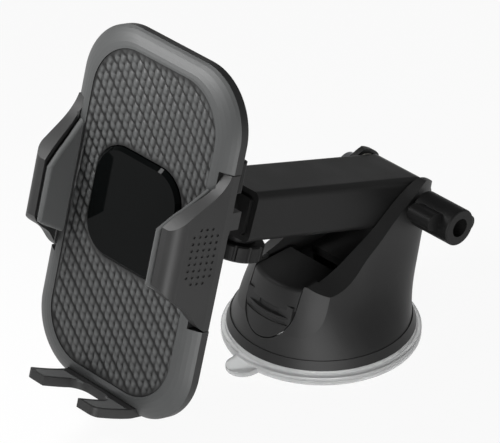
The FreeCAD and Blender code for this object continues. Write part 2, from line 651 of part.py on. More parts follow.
def dimples():
    """Oval field of shallow round dimples in the arm's outer face."""
    across, along = 6.3, 11.0
    rows = int(along / DIMPLE_PITCH)
    cuts = []
    for i in range(-2 * rows, 2 * rows + 1):
        u = i * DIMPLE_PITCH / 2
        shift = DIMPLE_PITCH / 2 if i % 2 else 0
        for j in range(-4, 5):
            d = j * DIMPLE_PITCH + shift
            if (u / along) ** 2 + (d / across) ** 2 > 1 or i % 2:
                continue
            face = FACE_W / 2 - 1.5 * (d + 6.5) / 13.6
            cuts.append(rod(DIMPLE_R, V(face - DIMPLE_DEEP, -(d + 6.5), u + 4), V(face + 2, -(d + 6.5), u + 4)))
    return Part.makeCompound(cuts)


def jaw_shell():
    side = Part.Face(jaw_outline(False)).extrude(V(60, 0, 0))
    across = Part.Face(jaw_section())
    across.translate(V(0, 0, -40))
    return side.common(across.extrude(V(0, 0, 90))).cut(dimples())


def rack_bar(sign):
    """Bar from the right arm to past the pinion; sign says above or below the pinion."""
    reach = NOTCH_X + SLIP + 3
    inner = -(CLAMP_TRAVEL + 3)
    bar_shape = box(inner, reach, -RACK_TOP, -RACK_LOW, DEDENDUM, DEDENDUM + RACK_BAR)
    pitch = math.pi * MODULE
    teeth = rack_teeth(-pitch * 5.5, 8)
    for tooth in teeth:
        bar_shape = bar_shape.fuse(tooth)
    web = box(NOTCH_X + SLIP, reach, SIDE_T - SLIP - 1, -RACK_LOW, DEDENDUM, DEDENDUM + RACK_BAR)
    bar_shape = bar_shape.fuse(web)
    if sign < 0:
        bar_shape = bar_shape.mirror(V(0, 0, 0), Z_AXIS)
    bar_shape.translate(V(0, 0, PINION_U + sign * PITCH_R))
    return bar_shape


def clamp_arm(left):
    arm = jaw_shell().fuse(rack_bar(-1 if left else 1)).removeSplitter()
    return mirrored(arm) if left else arm


def clamp_pad(left):
    """Rubber lining: a front layer and a smaller backing that leaves a groove at the rim."""
    front_face = [V(pad_x(CROWN), -CROWN, 0), V(pad_x(JAW_D), -JAW_D, 0),
                  V(pad_x(JAW_D, PAD_RUBBER), -JAW_D, 0), V(pad_x(CROWN, PAD_RUBBER), -CROWN, 0)]
    top = JAW_D - PAD_INSET
    low = CROWN + 0.4
    back_face = [V(pad_x(low, PAD_RUBBER - 0.1), -low, 0), V(pad_x(top, PAD_RUBBER - 0.1), -top, 0),
                 V(pad_x(top, PAD_RUBBER + PAD_BACK), -top, 0), V(pad_x(low, PAD_RUBBER + PAD_BACK), -low, 0)]
    side = Part.Face(jaw_outline(True)).extrude(V(60, 0, 0))
    layers = []
    for face, low_u, high_u in ((front_face, -40, 40), (back_face, -10, 13)):
        section = Part.Face(polygon(face))
        section.translate(V(0, 0, low_u))
        layers.append(side.common(section.extrude(V(0, 0, high_u - low_u))))
    pad = layers[0].fuse(layers[1]).removeSplitter()
    return mirrored(pad) if left else pad


# ---------------------------------------------------------------- cradle: shells
def face_wire(level, shrink, corner):
    half_h = FACE_H / 2
    return rounded(FACE_W / 2 - shrink, -half_h + shrink * BORDER_H, half_h - shrink * BORDER_H, corner, -level)


def face_solid():
    """Front plate with its border crowned from the outline up to the panel."""
    steps = [0, 0.12, 0.3, 0.5, 0.7, 0.88, 1.0]
    wires = []
    for share in steps:
        level = CROWN * math.sin(share * math.pi / 2) ** 0.85
        wires.append(face_wire(level, BORDER * share, FACE_R - (FACE_R - PANEL_R) * share))
    crown = Part.makeLoft(wires, True, True)
    half_h = FACE_H / 2
    return slab(FACE_W / 2, -half_h, half_h, FACE_R, -SIDE_T, 0).fuse(crown)


def trigger_window(grow):
    half = TRIG_W / 2 + grow
    low, high = TRIG_U - TRIG_H / 2 - grow, TRIG_U + TRIG_H / 2 + grow
    return half, low, high, TRIG_CORNER + grow


def front_bezel():
    half_h = FACE_H / 2
    shell = face_solid()
    shell = shell.cut(slab(POCKET_W / 2, -POCKET_H / 2, POCKET_H / 2, 16, -SIDE_T - 1, SHELF_LOW))
    shell = shell.cut(slab(PANEL_W / 2, -PANEL_H / 2, PANEL_H / 2, PANEL_R, PANEL_LOW, CROWN + 1))
    half, low, high, corner = trigger_window(TRIG_FIT)
    shell = shell.cut(slab(half, low, high, corner, SHELF_LOW - 1, CROWN + 1))
    for sign in (1, -1):
        x0, x1 = sorted((sign * NOTCH_X, sign * FACE_W))
        shell = shell.cut(cbox(x0, x1, ARM_LOW - SLIP, ARM_HIGH + SLIP, -SIDE_T - 1, CROWN + 1))
    foot = FOOT_W / 2 + SLIP
    shell = shell.cut(cbox(-foot, foot, -half_h - 1, foot_top() + SLIP, -SIDE_T - 1, CROWN + 1))
    for x, u in post_places():
        boss = cbar(x, u, CHASSIS_TOP + 0.1, SHELF_LOW + 0.2, POST_R)
        shell = shell.fuse(boss).cut(cbar(x, u, CHASSIS_TOP - 1, SHELF_LOW - 0.3, SCREW_R + RUN))
    return shell


def weave_panel():
    half_h = PANEL_H / 2 - PANEL_FIT
    panel = slab(PANEL_W / 2 - PANEL_FIT, -half_h, half_h, PANEL_R - PANEL_FIT, PANEL_LOW, PANEL_TOP)
    half, low, high, corner = trigger_window(TRIG_FIT)
    return panel.cut(slab(half, low, high, corner, PANEL_LOW - 1, PANEL_TOP + 1))


def trigger_pad():
    top = PANEL_TOP + TRIG_RISE
    half, low, high, corner = trigger_window(0)
    body = slab(half, low, high, corner, SHELF_LOW - TRIG_RIM_T - 0.2, top)
    rim_edges = [e for e in body.Edges if abs(e.BoundBox.YMin + top) < 0.01 and e.BoundBox.YLength < 0.01]
    body = body.makeChamfer(TRIG_BEVEL, rim_edges)
    half, low, high, corner = trigger_window(TRIG_RIM)
    rim = slab(half, low, high, corner, SHELF_LOW - TRIG_RIM_T - 0.2, SHELF_LOW - 0.2)
    half, low, high, corner = trigger_window(-TRIG_WALL)
    hollow = slab(half, low, high, corner, SHELF_LOW - TRIG_RIM_T - 1, top - TRIG_WALL)
    post = cbar(0, TRIG_U, SHELF_LOW - TRIG_RIM_T - 0.2, top - TRIG_WALL + 0.2, 2.2)
    return body.fuse(rim).cut(hollow).fuse(post)


def trigger_spring():
    high = PANEL_TOP + TRIG_RISE - TRIG_WALL
    spring = coil(3.4, 0.35, 4, high - CHASSIS_TOP - 0.2)
    spring.rotate(V(0, 0, 0), X_AXIS, 90)
    spring.translate(V(0, -CHASSIS_TOP - 0.1, TRIG_U))
    return spring


def post_places():
    return [(x, u) for x in (-POST_X, POST_X) for u in (-POST_U, POST_U)]


def chassis_plate():
    plate = slab(CHASSIS_W / 2, -CHASSIS_H / 2, CHASSIS_H / 2, 14, CHASSIS_LOW, CHASSIS_TOP)
    plate = plate.cut(cbar(0, PINION_U, CHASSIS_LOW - 1, CHASSIS_TOP + 1, PINION_PIN_R + RUN))
    for x, u in post_places():
        plate = plate.cut(cbar(x, u, CHASSIS_LOW - 1, CHASSIS_TOP + 1, SCREW_R + RUN))
    stem = STEM_W / 2 + SLIP
    return plate.cut(cbox(-stem, stem, -CHASSIS_H / 2 - 1, -CHASSIS_H / 2 + 4, CHASSIS_LOW - 1, CHASSIS_TOP + 1))


def cover_loft(inset, top, bottom):
    """Tapered rear housing between depths top and bottom, inset by a wall."""
    wires = []
    for level, half_w, half_h in COVER_STATIONS:
        wires.append(rounded(half_w - inset, -half_h + inset, half_h - inset, 20 - inset, -level))
    whole = Part.makeLoft(wires, True, True)
    return whole.common(cbox(-50, 50, -80, 80, bottom, top))


def cup_outside():
    cup = Part.makeSphere(CUP_OUT, V(0, -BALL_D, BALL_U))
    return cup.common(cbox(-30, 30, -40, 40, BALL_D, 0)).fuse(cbar(0, BALL_U, BALL_D, -COVER_D + 0.5, CUP_OUT))


def rear_cover():
    shell = cover_loft(0, -SIDE_T, -COVER_D)
    shell = shell.cut(cover_loft(COVER_WALL, -SIDE_T + 1, -COVER_D + COVER_WALL))
    for x, u in post_places():
        shell = shell.fuse(cbar(x, u, -COVER_D + 0.5, CHASSIS_LOW, POST_R))
    for sign in (1, -1):
        for u in (PINION_U + PITCH_R + DEDENDUM + RACK_BAR + SLIP, PINION_U - PITCH_R - DEDENDUM - RACK_BAR - SLIP):
            edge = u if u > PINION_U else u - 1.6
            x0, x1 = sorted((sign * 9, sign * 25))
            shell = shell.fuse(cbox(x0, x1, edge, edge + 1.6, -COVER_D + 0.5, RACK_TOP))
    shell = shell.fuse(cup_outside())
    shell = shell.cut(Part.makeSphere(CUP_R, V(0, -BALL_D, BALL_U)))
    reach = PITCH_R + DEDENDUM + RACK_BAR + 2 * SLIP
    for sign in (1, -1):
        x0, x1 = sorted((sign * 26, sign * 50))
        shell = shell.cut(cbox(x0, x1, PINION_U - reach, PINION_U + reach, RACK_LOW - SLIP, 0))
        grip = BUTTON_H / 2 + SLIP
        thick = BUTTON_T / 2 + SLIP
        x0, x1 = sorted((sign * button_root(), sign * 50))
        shell = shell.cut(cbox(x0, x1, BUTTON_U - grip, BUTTON_U + grip, BUTTON_D - thick, BUTTON_D + thick))
    for x, u in post_places():
        shell = shell.cut(cbar(x, u, -COVER_D - 1, 0, SCREW_R + RUN))
        shell = shell.cut(cbar(x, u, -COVER_D - 1, -COVER_D + HEAD_T + 0.2, HEAD_R + RUN))
    foot = FOOT_W / 2 + SLIP
    shell = shell.cut(cbox(-foot, foot, -80, foot_top() + SLIP, FOOT_BACK - SLIP, 0))
    stem = STEM_W / 2 + SLIP
    stem_low = FOOT_BACK - SLIP
    shell = shell.cut(cbox(-stem, stem, -80, -50, stem_low, 0))
    for sign in (1, -1):
        x0, x1 = sorted((sign * stem, sign * (stem + 1.6)))
        shell = shell.fuse(cbox(x0, x1, -50, -18, -COVER_D + 0.5, CHASSIS_LOW - SLIP))
    anvil = button_root() - BUTTON_RIM_T - BUTTON_ROOM
    for sign in (1, -1):
        x0, x1 = sorted((sign * (anvil - 1.4), sign * anvil))
        wall = cbox(x0, x1, BUTTON_U - 3.4, BUTTON_U + 3.4, -COVER_D + 0.5, BUTTON_D + BUTTON_T / 2)
        shell = shell.fuse(wall)
    return shell.removeSplitter()


def cover_screws():
    parts = []
    for x, u in post_places():
        low = -COVER_D + 0.2
        head = cbar(x, u, low, low + HEAD_T, HEAD_R)
        parts.append(head.fuse(cbar(x, u, low, SHELF_LOW - 0.5, SCREW_R)))
    return Part.makeCompound(parts)


def cover_half(level):
    """Half width of the rear cover's outside at depth level."""
    for (d0, w0, _), (d1, w1, _) in zip(COVER_STATIONS, COVER_STATIONS[1:]):
        if level >= d1:
            return w0 + (w1 - w0) * (level - d0) / (d1 - d0)
    return COVER_STATIONS[-1][1]


def button_root():
    """Outer face of the button's rim, just inside the cover's side wall."""
    return cover_half(BUTTON_D - BUTTON_T / 2) - COVER_WALL - SLIP


def release_button(left):
    root = button_root()
    outer = cover_half(BUTTON_D) + BUTTON_OUT
    low, high = BUTTON_D - BUTTON_T / 2, BUTTON_D + BUTTON_T / 2
    cap = cbox(root - BUTTON_RIM_T, outer, BUTTON_U - BUTTON_H / 2, BUTTON_U + BUTTON_H / 2, low, high)
    tips = [e for e in cap.Edges if abs(e.BoundBox.XMin - outer) < 0.01]
    cap = cap.makeFillet(0.8, tips)
    rim = cbox(root - BUTTON_RIM_T, root, BUTTON_U - BUTTON_H / 2 - BUTTON_RIM,
               BUTTON_U + BUTTON_H / 2 + BUTTON_RIM, low, high)
    button = cap.fuse(rim).removeSplitter()
    return mirrored(button) if left else button


def release_spring(left):
    spring = coil(1.0, 0.2, 3, BUTTON_ROOM - 0.2)
    spring.rotate(V(0, 0, 0), Y_AXIS, 90)
    spring.translate(V(button_root() - BUTTON_RIM_T - BUTTON_ROOM + 0.1, -BUTTON_D, BUTTON_U))
    return mirrored(spring) if left else spring


# ---------------------------------------------------------------- cradle: ball joint
def shell_cap(inner, thick, reach):
    """Spherical cap in front of the ball, out to reach degrees from the roll axis."""
    centre = V(0, -BALL_D, BALL_U)
    cap = Part.makeSphere(inner + thick, centre).cut(Part.makeSphere(inner, centre))
    edge = (inner + thick) * math.cos(math.radians(reach))
    return cap.common(cbox(-20, 20, -20, 25, BALL_D + edge, 0))


def ball_liner():
    return shell_cap(LINER_R, LINER_T, 62)


def pressure_ring():
    cap = shell_cap(RING_R, RING_T, 62)
    return cap.cut(cbar(0, BALL_U, BALL_D, 0, 3.0))


def ball_nut():
    front = -COVER_D - 0.4
    thread = CUP_OUT + 0.2
    nut = cbar(0, BALL_U, -NUT_BACK, front, NUT_R)
    nut = nut.cut(cbar(0, BALL_U, BALL_D - 0.3, front + 1, thread))
    nut = nut.cut(Part.makeSphere(CUP_R, V(0, -BALL_D, BALL_U)))
    lip_d = BALL_D - NUT_LIP_D
    lip = math.sqrt(BALL_R ** 2 - NUT_LIP_D ** 2) - 0.15
    inside = Part.makeSphere(BALL_R + BALL_GAP, V(0, -BALL_D, BALL_U))
    seat = cbar(0, BALL_U, lip_d, BALL_D - 2.6, NUT_R - 2).cut(inside)
    nut = nut.cut(Part.makeCone(NUT_MOUTH, lip, NUT_BACK + lip_d + 0.5, V(0, NUT_BACK + 0.5, BALL_U), V(0, -1, 0)))
    nut = nut.fuse(seat).cut(cbar(0, BALL_U, lip_d - 1, BALL_D, lip)).cut(inside)
    groove = cbar(NUT_R + 0.35, 0, -NUT_BACK + 2, front - 2, 0.9)
    for cut in ring_of(groove, NUT_RIBS, Y_AXIS):
        cut.translate(V(0, 0, BALL_U))
        nut = nut.cut(cut)
    return nut.removeSplitter()


# ---------------------------------------------------------------- cradle: foot
def foot_top():
    """Height of the foot bracket's top surface at its root."""
    return -58.1


def foot_side(lift0, lift1):
    """Side view of the curled foot plate between two heights over its underside."""
    foot_low = foot_top() - FOOT_T
    line = [(FOOT_BACK, 0), (3.2, 0), (9, 0.9), (13.3, 1.8), (FOOT_TIP, 3.5)]
    under = [V(-30, -d, foot_low + rise + lift0) for d, rise in line]
    over = [V(-30, -d, foot_low + rise + lift1) for d, rise in line]
    edges = [Part.makeLine(under[0], under[1]), curve(under[1:]), Part.makeLine(under[-1], over[-1]),
             curve(over[1:]), Part.makeLine(over[1], over[0]), Part.makeLine(over[0], under[0])]
    loop = [edges[0], edges[1], edges[2], edges[3], edges[4], edges[5]]
    return Part.Face(Part.Wire(Part.__sortEdges__(loop))).extrude(V(60, 0, 0))


def prong_plan(inset, root):
    """Plan of the two prongs and the bridge that joins them, as a tall block."""
    half = FOOT_W / 2 - inset
    plate = cbox(-half, half, -70, -45, root, FOOT_TIP - inset)
    tips = [e for e in plate.Edges if e.BoundBox.ZLength > 20 and e.BoundBox.YMin < -FOOT_TIP + inset + 0.1]
    plate = plate.makeFillet(2.5, tips)
    gap = FOOT_GAP / 2 + inset
    mouth = cbox(-gap, gap, -71, -44, 3.9 + inset, FOOT_TIP + 2)
    inner = [e for e in mouth.Edges if e.BoundBox.ZLength > 20 and e.BoundBox.YMax > -3.9 - inset - 0.1]
    mouth = mouth.makeFillet(5.0, inner)
    return plate.cut(mouth)


def foot_bracket():
    plate = foot_side(0, FOOT_T - FOOT_PAD_T).common(prong_plan(0, FOOT_BACK))
    rim = foot_side(0, FOOT_T).common(prong_plan(0, FOOT_BACK))
    rim = rim.cut(foot_side(FOOT_T - FOOT_PAD_T, FOOT_T + 2).common(prong_plan(1.0, 5.0)))
    half = STEM_W / 2
    stem = cbox(-half, half, foot_top() - 1, -16, FOOT_BACK, FOOT_BACK + STEM_T)
    stem = stem.cut(cbar(0, -22, FOOT_BACK - 1, 0, 1.6))
    return plate.fuse(rim).fuse(stem).removeSplitter()


def foot_pads():
    pads = foot_side(FOOT_T - FOOT_PAD_T, FOOT_T).common(prong_plan(1.1, 5.1))
    return Part.makeCompound(pads.Solids)


# ---------------------------------------------------------------- write every piece
def build():
    plain = {"suction_pad": suction_pad, "skirt_ring": skirt_ring, "base_screws": base_screws,
             "yoke_body": yoke_body, "suction_lever": suction_lever, "lever_pin": lever_pin,
             "plunger": plunger, "plunger_spring": plunger_spring, "pivot_bolt": pivot_bolt,
             "pivot_knob": pivot_knob, "friction_washers": friction_washers}
    arm = {"outer_tube": outer_tube, "inner_slider": inner_slider, "ball_stud": ball_stud,
           "clamp_shoe": clamp_shoe, "lock_knob": lock_knob}
    cradle = {"front_bezel": front_bezel, "weave_panel": weave_panel, "trigger_pad": trigger_pad,
              "trigger_spring": trigger_spring, "chassis_plate": chassis_plate, "rear_cover": rear_cover,
              "cover_screws": cover_screws, "pinion": pinion, "pinion_pin": pinion_pin,
              "ball_liner": ball_liner, "pressure_ring": pressure_ring, "ball_nut": ball_nut,
              "foot_bracket": foot_bracket, "foot_pads": foot_pads}
    for name, make in plain.items():
        save(name, make())
    for name, make in arm.items():
        save(name, in_arm(make()))
    for name, make in cradle.items():
        save(name, in_cradle(make()))
    for side, left in (("left", True), ("right", False)):
        save(f"{side}_clamp_arm", in_cradle(clamp_arm(left)))
        save(f"{side}_clamp_pad", in_cradle(clamp_pad(left)))
        save(f"{side}_release_button", in_cradle(release_button(left)))
        save(f"{side}_release_spring", in_cradle(release_spring(left)))


build()
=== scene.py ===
import json
import math

import bpy
from bpy.props import FloatProperty, FloatVectorProperty, PointerProperty, StringProperty
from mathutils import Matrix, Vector


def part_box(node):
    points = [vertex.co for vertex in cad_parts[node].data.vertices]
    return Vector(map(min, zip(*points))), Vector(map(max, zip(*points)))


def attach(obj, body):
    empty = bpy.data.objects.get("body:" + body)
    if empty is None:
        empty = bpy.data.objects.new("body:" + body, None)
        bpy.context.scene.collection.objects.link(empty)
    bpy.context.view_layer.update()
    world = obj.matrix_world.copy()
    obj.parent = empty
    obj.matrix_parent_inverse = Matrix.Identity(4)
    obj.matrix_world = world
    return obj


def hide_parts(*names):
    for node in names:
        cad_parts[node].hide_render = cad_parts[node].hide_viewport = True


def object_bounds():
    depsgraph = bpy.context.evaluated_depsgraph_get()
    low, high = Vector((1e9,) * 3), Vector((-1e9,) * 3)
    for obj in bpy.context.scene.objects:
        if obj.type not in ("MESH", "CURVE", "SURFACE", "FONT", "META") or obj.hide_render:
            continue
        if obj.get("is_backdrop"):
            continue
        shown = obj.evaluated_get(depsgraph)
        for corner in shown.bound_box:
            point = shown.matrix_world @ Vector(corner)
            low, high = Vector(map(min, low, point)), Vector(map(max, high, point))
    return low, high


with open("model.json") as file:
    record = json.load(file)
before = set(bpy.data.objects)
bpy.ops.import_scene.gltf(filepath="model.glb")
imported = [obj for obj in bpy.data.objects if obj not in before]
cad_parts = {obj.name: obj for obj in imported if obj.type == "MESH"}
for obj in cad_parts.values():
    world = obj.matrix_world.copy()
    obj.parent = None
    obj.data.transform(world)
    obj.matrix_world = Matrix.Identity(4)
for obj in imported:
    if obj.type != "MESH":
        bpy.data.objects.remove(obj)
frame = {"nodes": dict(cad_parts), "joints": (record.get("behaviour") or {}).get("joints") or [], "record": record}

bl_info = {
    "name": "Suction phone mount finish",
    "version": (1, 0, 0),
    "blender": (4, 5, 0),
    "location": "3D View > Sidebar > Phone mount",
    "description": "Dresses the packed phone mount in moulded plastic, rubber and clear gel",
    "category": "Object",
}

MM = 0.001
JOINTS = {joint["name"]: joint for joint in frame["joints"]}


# ------------------------------------------------------------------ places taken from the frame
def centre_of(node):
    low, high = (Vector(corner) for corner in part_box(node))
    return (low + high) / 2


OUT = Vector(JOINTS["ball_roll"]["axis"]).normalized()      # from the cradle towards the phone
ACROSS = Vector((1, 0, 0))
UP = OUT.cross(ACROSS)
WHITE_SHARE = 0.93                                          # how white the paper is to the camera
PANEL_MID = 2.25                                            # mm, panel's middle over the bezel's outline
CRADLE = centre_of("weave_panel") - OUT * PANEL_MID * MM


def cradle(x, u, d):
    """Point of the cradle: x across, u up along its face, d towards the phone, in millimetres."""
    return CRADLE + (ACROSS * x + UP * u + OUT * d) * MM


# ------------------------------------------------------------------ settings
class WeaveSettings(bpy.types.PropertyGroup):
    rope_pitch: FloatProperty(name="Rope pitch", description="Distance from rope to rope, mm", default=2.52)
    rope_run: FloatProperty(name="Rope run", description="Rope's direction across the panel", default=0.8)
    rope_rise: FloatProperty(name="Rope fall", description="Rope's direction down the panel", default=0.6)
    stitch: FloatProperty(name="Stitch", description="Length of one stitch along a rope, mm", default=3.1)
    lag: FloatProperty(name="Lag", description="Shift of the stitches from rope to rope", default=0.52)
    relief: FloatProperty(name="Relief", description="Height of a rope over its pits, mm", default=0.62)
    light: StringProperty(name="Thread top", description="Colour of the thread tops", default="#4c4d4d")
    # painted shade: dark colour for the pits between the threads and along the panel's rims
    bed_shade: StringProperty(name="Thread bed", description="Colour between the threads", default="#101010")


class PlasticSettings(bpy.types.PropertyGroup):
    base: StringProperty(name="Base", description="Colour of the base and lever", default="#262626")
    arm: StringProperty(name="Arm", description="Colour of the arm and knobs", default="#191919")
    bezel: StringProperty(name="Bezel", description="Colour of the bezel's face", default="#3b3c3c")
    # painted shade: near-black colour for the bezel's side walls, which turn away from the phone side
    wall_shade: StringProperty(name="Bezel wall", description="Colour of the bezel's side walls", default="#141414")
    clamp: StringProperty(name="Clamps", description="Colour of the clamp arms", default="#252525")
    rubber: StringProperty(name="Rubber", description="Colour of the rubber linings", default="#444545")


class StageSettings(bpy.types.PropertyGroup):
    azimuth: FloatProperty(name="Azimuth", description="Camera angle round the mount, degrees",
                           default=46.757)
    elevation: FloatProperty(name="Elevation", description="Camera angle over the floor, degrees",
                             default=31.813)
    distance: FloatProperty(name="Distance", description="Camera to aim point", default=1.3495, unit="LENGTH")
    lens: FloatProperty(name="Lens", description="Focal length, mm", default=297.4)
    aim: FloatVectorProperty(name="Aim", description="Aim point from the object's middle, mm", size=3,
                             default=(-0.27, 4.45, -10.89))
    ambient: FloatProperty(name="Ambient", description="Strength of the even light", default=0.2)


# ------------------------------------------------------------------ materials
def linear(code):
    """An sRGB hex colour as linear red, green, blue and a full alpha."""
    parts = [int(code[i:i + 2], 16) / 255 for i in (1, 3, 5)]
    return tuple(p / 12.92 if p <= 0.04045 else ((p + 0.055) / 1.055) ** 2.4 for p in parts) + (1.0,)


def add(tree, kind, settings=None, links=None):
    """Adds a node, sets its attributes and sockets, and links sockets to other nodes' outputs."""
    node = tree.nodes.new(kind)
    for key, value in (settings or {}).items():
        if isinstance(key, str) and hasattr(node, key):
            setattr(node, key, value)
        else:
            node.inputs[key].default_value = value
    for key, source in (links or {}).items():
        tree.links.new(source, node.inputs[key])
    return node


def surface(name, **sockets):
    """A new material with one Principled shader whose uniform values sit on its own sockets."""
    made = bpy.data.materials.new(name)
    made.use_nodes = True
    tree = made.node_tree
    tree.nodes.clear()
    shader = add(tree, "ShaderNodeBsdfPrincipled", {k.replace("_", " "): v for k, v in sockets.items()})
    add(tree, "ShaderNodeOutputMaterial", None, {"Surface": shader.outputs["BSDF"]})
    return made, tree, shader


def grain(tree, shader, size_mm, height_mm, strength=0.5):
    """Fine spark-eroded grain, drawn as bump, with the given size of pit."""
    place = add(tree, "ShaderNodeTexCoord")
    noise = add(tree, "ShaderNodeTexNoise", {"Scale": 1 / (size_mm * MM), "Detail": 3.0, "Roughness": 0.6},
                {"Vector": place.outputs["Object"]})
    bump = add(tree, "ShaderNodeBump", {"Strength": strength, "Distance": height_mm * MM},
               {"Height": noise.outputs["Fac"]})
    tree.links.new(bump.outputs["Normal"], shader.inputs["Normal"])
    return place


def worn(tree, shader, place, code, rub_mm, lift=0.12):
    """Slow change of tone over the moulding, as from handling."""
    cloud = add(tree, "ShaderNodeTexNoise", {"Scale": 1 / (rub_mm * MM), "Detail": 2.0},
                {"Vector": place.outputs["Object"]})
    tone = add(tree, "ShaderNodeValToRGB", None, {"Fac": cloud.outputs["Fac"]})
    base = linear(code)
    tone.color_ramp.elements[0].position, tone.color_ramp.elements[1].position = 0.3, 0.7
    tone.color_ramp.elements[0].color = tuple(c * (1 - lift) for c in base[:3]) + (1,)
    tone.color_ramp.elements[1].color = tuple(c * (1 + lift) for c in base[:3]) + (1,)
    tree.links.new(tone.outputs["Color"], shader.inputs["Base Color"])
    rough = add(tree, "ShaderNodeMapRange", {"To Min": 0.42, "To Max": 0.55}, {"Value": cloud.outputs["Fac"]})
    tree.links.new(rough.outputs["Result"], shader.inputs["Roughness"])


def moulded_abs(name, code, size_mm=0.35, height_mm=0.02, specular=0.28):
    """Injection-moulded ABS: an even, slightly pitted skin with a soft broad sheen."""
    made, tree, shader = surface(name, IOR=1.53, Specular_IOR_Level=specular)
    place = grain(tree, shader, size_mm, height_mm)
    worn(tree, shader, place, code, 14.0)
    return made


def bezel_abs(name, face, wall_shade):
    """Moulded ABS with a fine satin face, and near-black painted shade on the side walls that turn away from the
    phone side.
    """
    made, tree, shader = surface(name, IOR=1.53, Specular_IOR_Level=0.4)
    grain(tree, shader, 0.35, 0.015)
    # painted shade: the colour fades from the face colour to the near-black wall colour as the surface turns away
    # from the phone side
    turned = add(tree, "ShaderNodeNewGeometry")
    facing = add(tree, "ShaderNodeVectorMath", {"operation": "DOT_PRODUCT", 1: OUT},
                 {0: turned.outputs["Normal"]})
    share = add(tree, "ShaderNodeMapRange", {"From Min": 0.5, "From Max": 0.72},
                {"Value": facing.outputs["Value"]})
    tone = add(tree, "ShaderNodeValToRGB", None, {"Fac": share.outputs["Result"]})
    tone.color_ramp.elements[0].color, tone.color_ramp.elements[1].color = linear(wall_shade), linear(face)
    tree.links.new(tone.outputs["Color"], shader.inputs["Base Color"])
    return made


def polished_pmma(name):
    """Piano-black acrylic: almost no diffuse light, sharp reflections under a clear skin."""
    made, tree, shader = surface(name, Base_Color=linear("#050606"), IOR=1.49, Roughness=0.06,
                                 Specular_IOR_Level=0.07)
    grain(tree, shader, 2.5, 0.004, 0.15)
    return made


def moulded_weave(name, light, bed_shade):
    """ABS panel moulded as a twill cloth: satin thread tops, with painted shade darkening the beds between them.
    """
    made, tree, shader = surface(name, IOR=1.53, Specular_IOR_Level=0.35, Roughness=0.42)
    grain(tree, shader, 0.25, 0.015, 0.4)
    # painted shade: low relief turns the colour from the thread top colour towards the dark bed colour
    height = add(tree, "ShaderNodeAttribute", {"attribute_name": "relief"})
    tone = add(tree, "ShaderNodeValToRGB", None, {"Fac": height.outputs["Fac"]})
    tone.color_ramp.elements[0].position, tone.color_ramp.elements[1].position = 0.3, 0.98
    tone.color_ramp.elements[0].color, tone.color_ramp.elements[1].color = linear(bed_shade), linear(light)
    tree.links.new(tone.outputs["Color"], shader.inputs["Base Color"])
    return made


def silicone(name, code, rough=0.62):
    """Silicone rubber: dull, a little dusty at grazing angles."""
    made, tree, shader = surface(name, Base_Color=linear(code), IOR=1.41, Roughness=rough,
                                 Specular_IOR_Level=0.3, Sheen_Weight=0.15, Sheen_Roughness=0.5)
    grain(tree, shader, 0.3, 0.02, 0.5)
    return made


def clear_gel(name):
    """Cast polyurethane gel: clear, faintly cloudy, with a wet gloss."""
    made, tree, shader = surface(name, Base_Color=linear("#fafbfb"), IOR=1.45, Roughness=0.12,
                                 Transmission_Weight=0.6)
    grain(tree, shader, 3.0, 0.03, 0.3)
    return made


def acetal(name):
    """Natural acetal: milky white, slightly waxy."""
    made, tree, shader = surface(name, Base_Color=linear("#dedcd3"), IOR=1.48, Roughness=0.38)
    grain(tree, shader, 0.5, 0.01, 0.3)
    return made


def turned_steel(name):
    """Zinc-plated steel: bright, with fine turning marks."""
    made, tree, shader = surface(name, Base_Color=linear("#b9babd"), Metallic=1.0, Roughness=0.3)
    grain(tree, shader, 0.2, 0.01, 0.3)
    return made


MATERIALS = {}


def make_materials(plastic, weave):
    MATERIALS.update({
        "base_plastic": moulded_abs("moulded ABS base", plastic.base),
        "arm_plastic": moulded_abs("moulded ABS arm", plastic.arm, specular=0.16),
        "bezel_plastic": bezel_abs("moulded ABS bezel", plastic.bezel, plastic.wall_shade),
        "clamp_plastic": moulded_abs("moulded ABS clamp", plastic.clamp),
        "weave_plastic": moulded_weave("moulded twill ABS", weave.light, weave.bed_shade),
        "gloss_plastic": polished_pmma("polished acrylic"),
        "grip_rubber": silicone("silicone rubber", plastic.rubber),
        "clear_gel": clear_gel("clear polyurethane gel"),
        "acetal": acetal("natural acetal"),
        "steel": turned_steel("zinc-plated steel"),
    })


SLOTS = {part["node"]: part["material_slot"] for part in frame["record"]["subparts"]}


def dress(node, soften_mm=0.0):
    """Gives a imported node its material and, where wanted, a small moulded edge radius."""
    piece = frame["nodes"][node]
    piece.data.materials.clear()
    piece.data.materials.append(MATERIALS[SLOTS[node]])
    if soften_mm:
        edge = piece.modifiers.new("moulded edge", "BEVEL")
        edge.width, edge.segments = soften_mm * MM, 3
        edge.limit_method, edge.angle_limit = "ANGLE", math.radians(38)


def solid(name, points, faces, body, nodes, slot_name, smooth=35.0):
    """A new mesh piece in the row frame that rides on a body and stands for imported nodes."""
    mesh = bpy.data.meshes.new(name)
    mesh.from_pydata(points, [], faces)
    mesh.validate()
    mesh.update()
    piece = bpy.data.objects.new(name, mesh)
    bpy.context.scene.collection.objects.link(piece)
    mesh.materials.append(MATERIALS[slot_name])
    mesh.shade_smooth()
    mesh.set_sharp_from_angle(angle=math.radians(smooth))
    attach(piece, body)
    if nodes:
        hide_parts(*nodes)
    return piece


# ------------------------------------------------------------------ woven panel
TRIGGER_WINDOW = 19.95, -15.25, 22.85, 11.85    # mm: half width, bottom, top, corner radius
PANEL_OUTLINE = 28.15, -54.05, 54.05, 16.85     # mm: half width, bottom, top, corner radius
PANEL_FACE, PANEL_BACK = 3.05, 1.55             # mm towards the phone
PANEL_RINGS = 84                                # rings of faces from the window to the outline
RIM_RINGS = 6                                   # rings over which the cloth runs out at each rim
OUTLINE_STEPS = 84, 84, 46                      # points along a side, a top and a corner


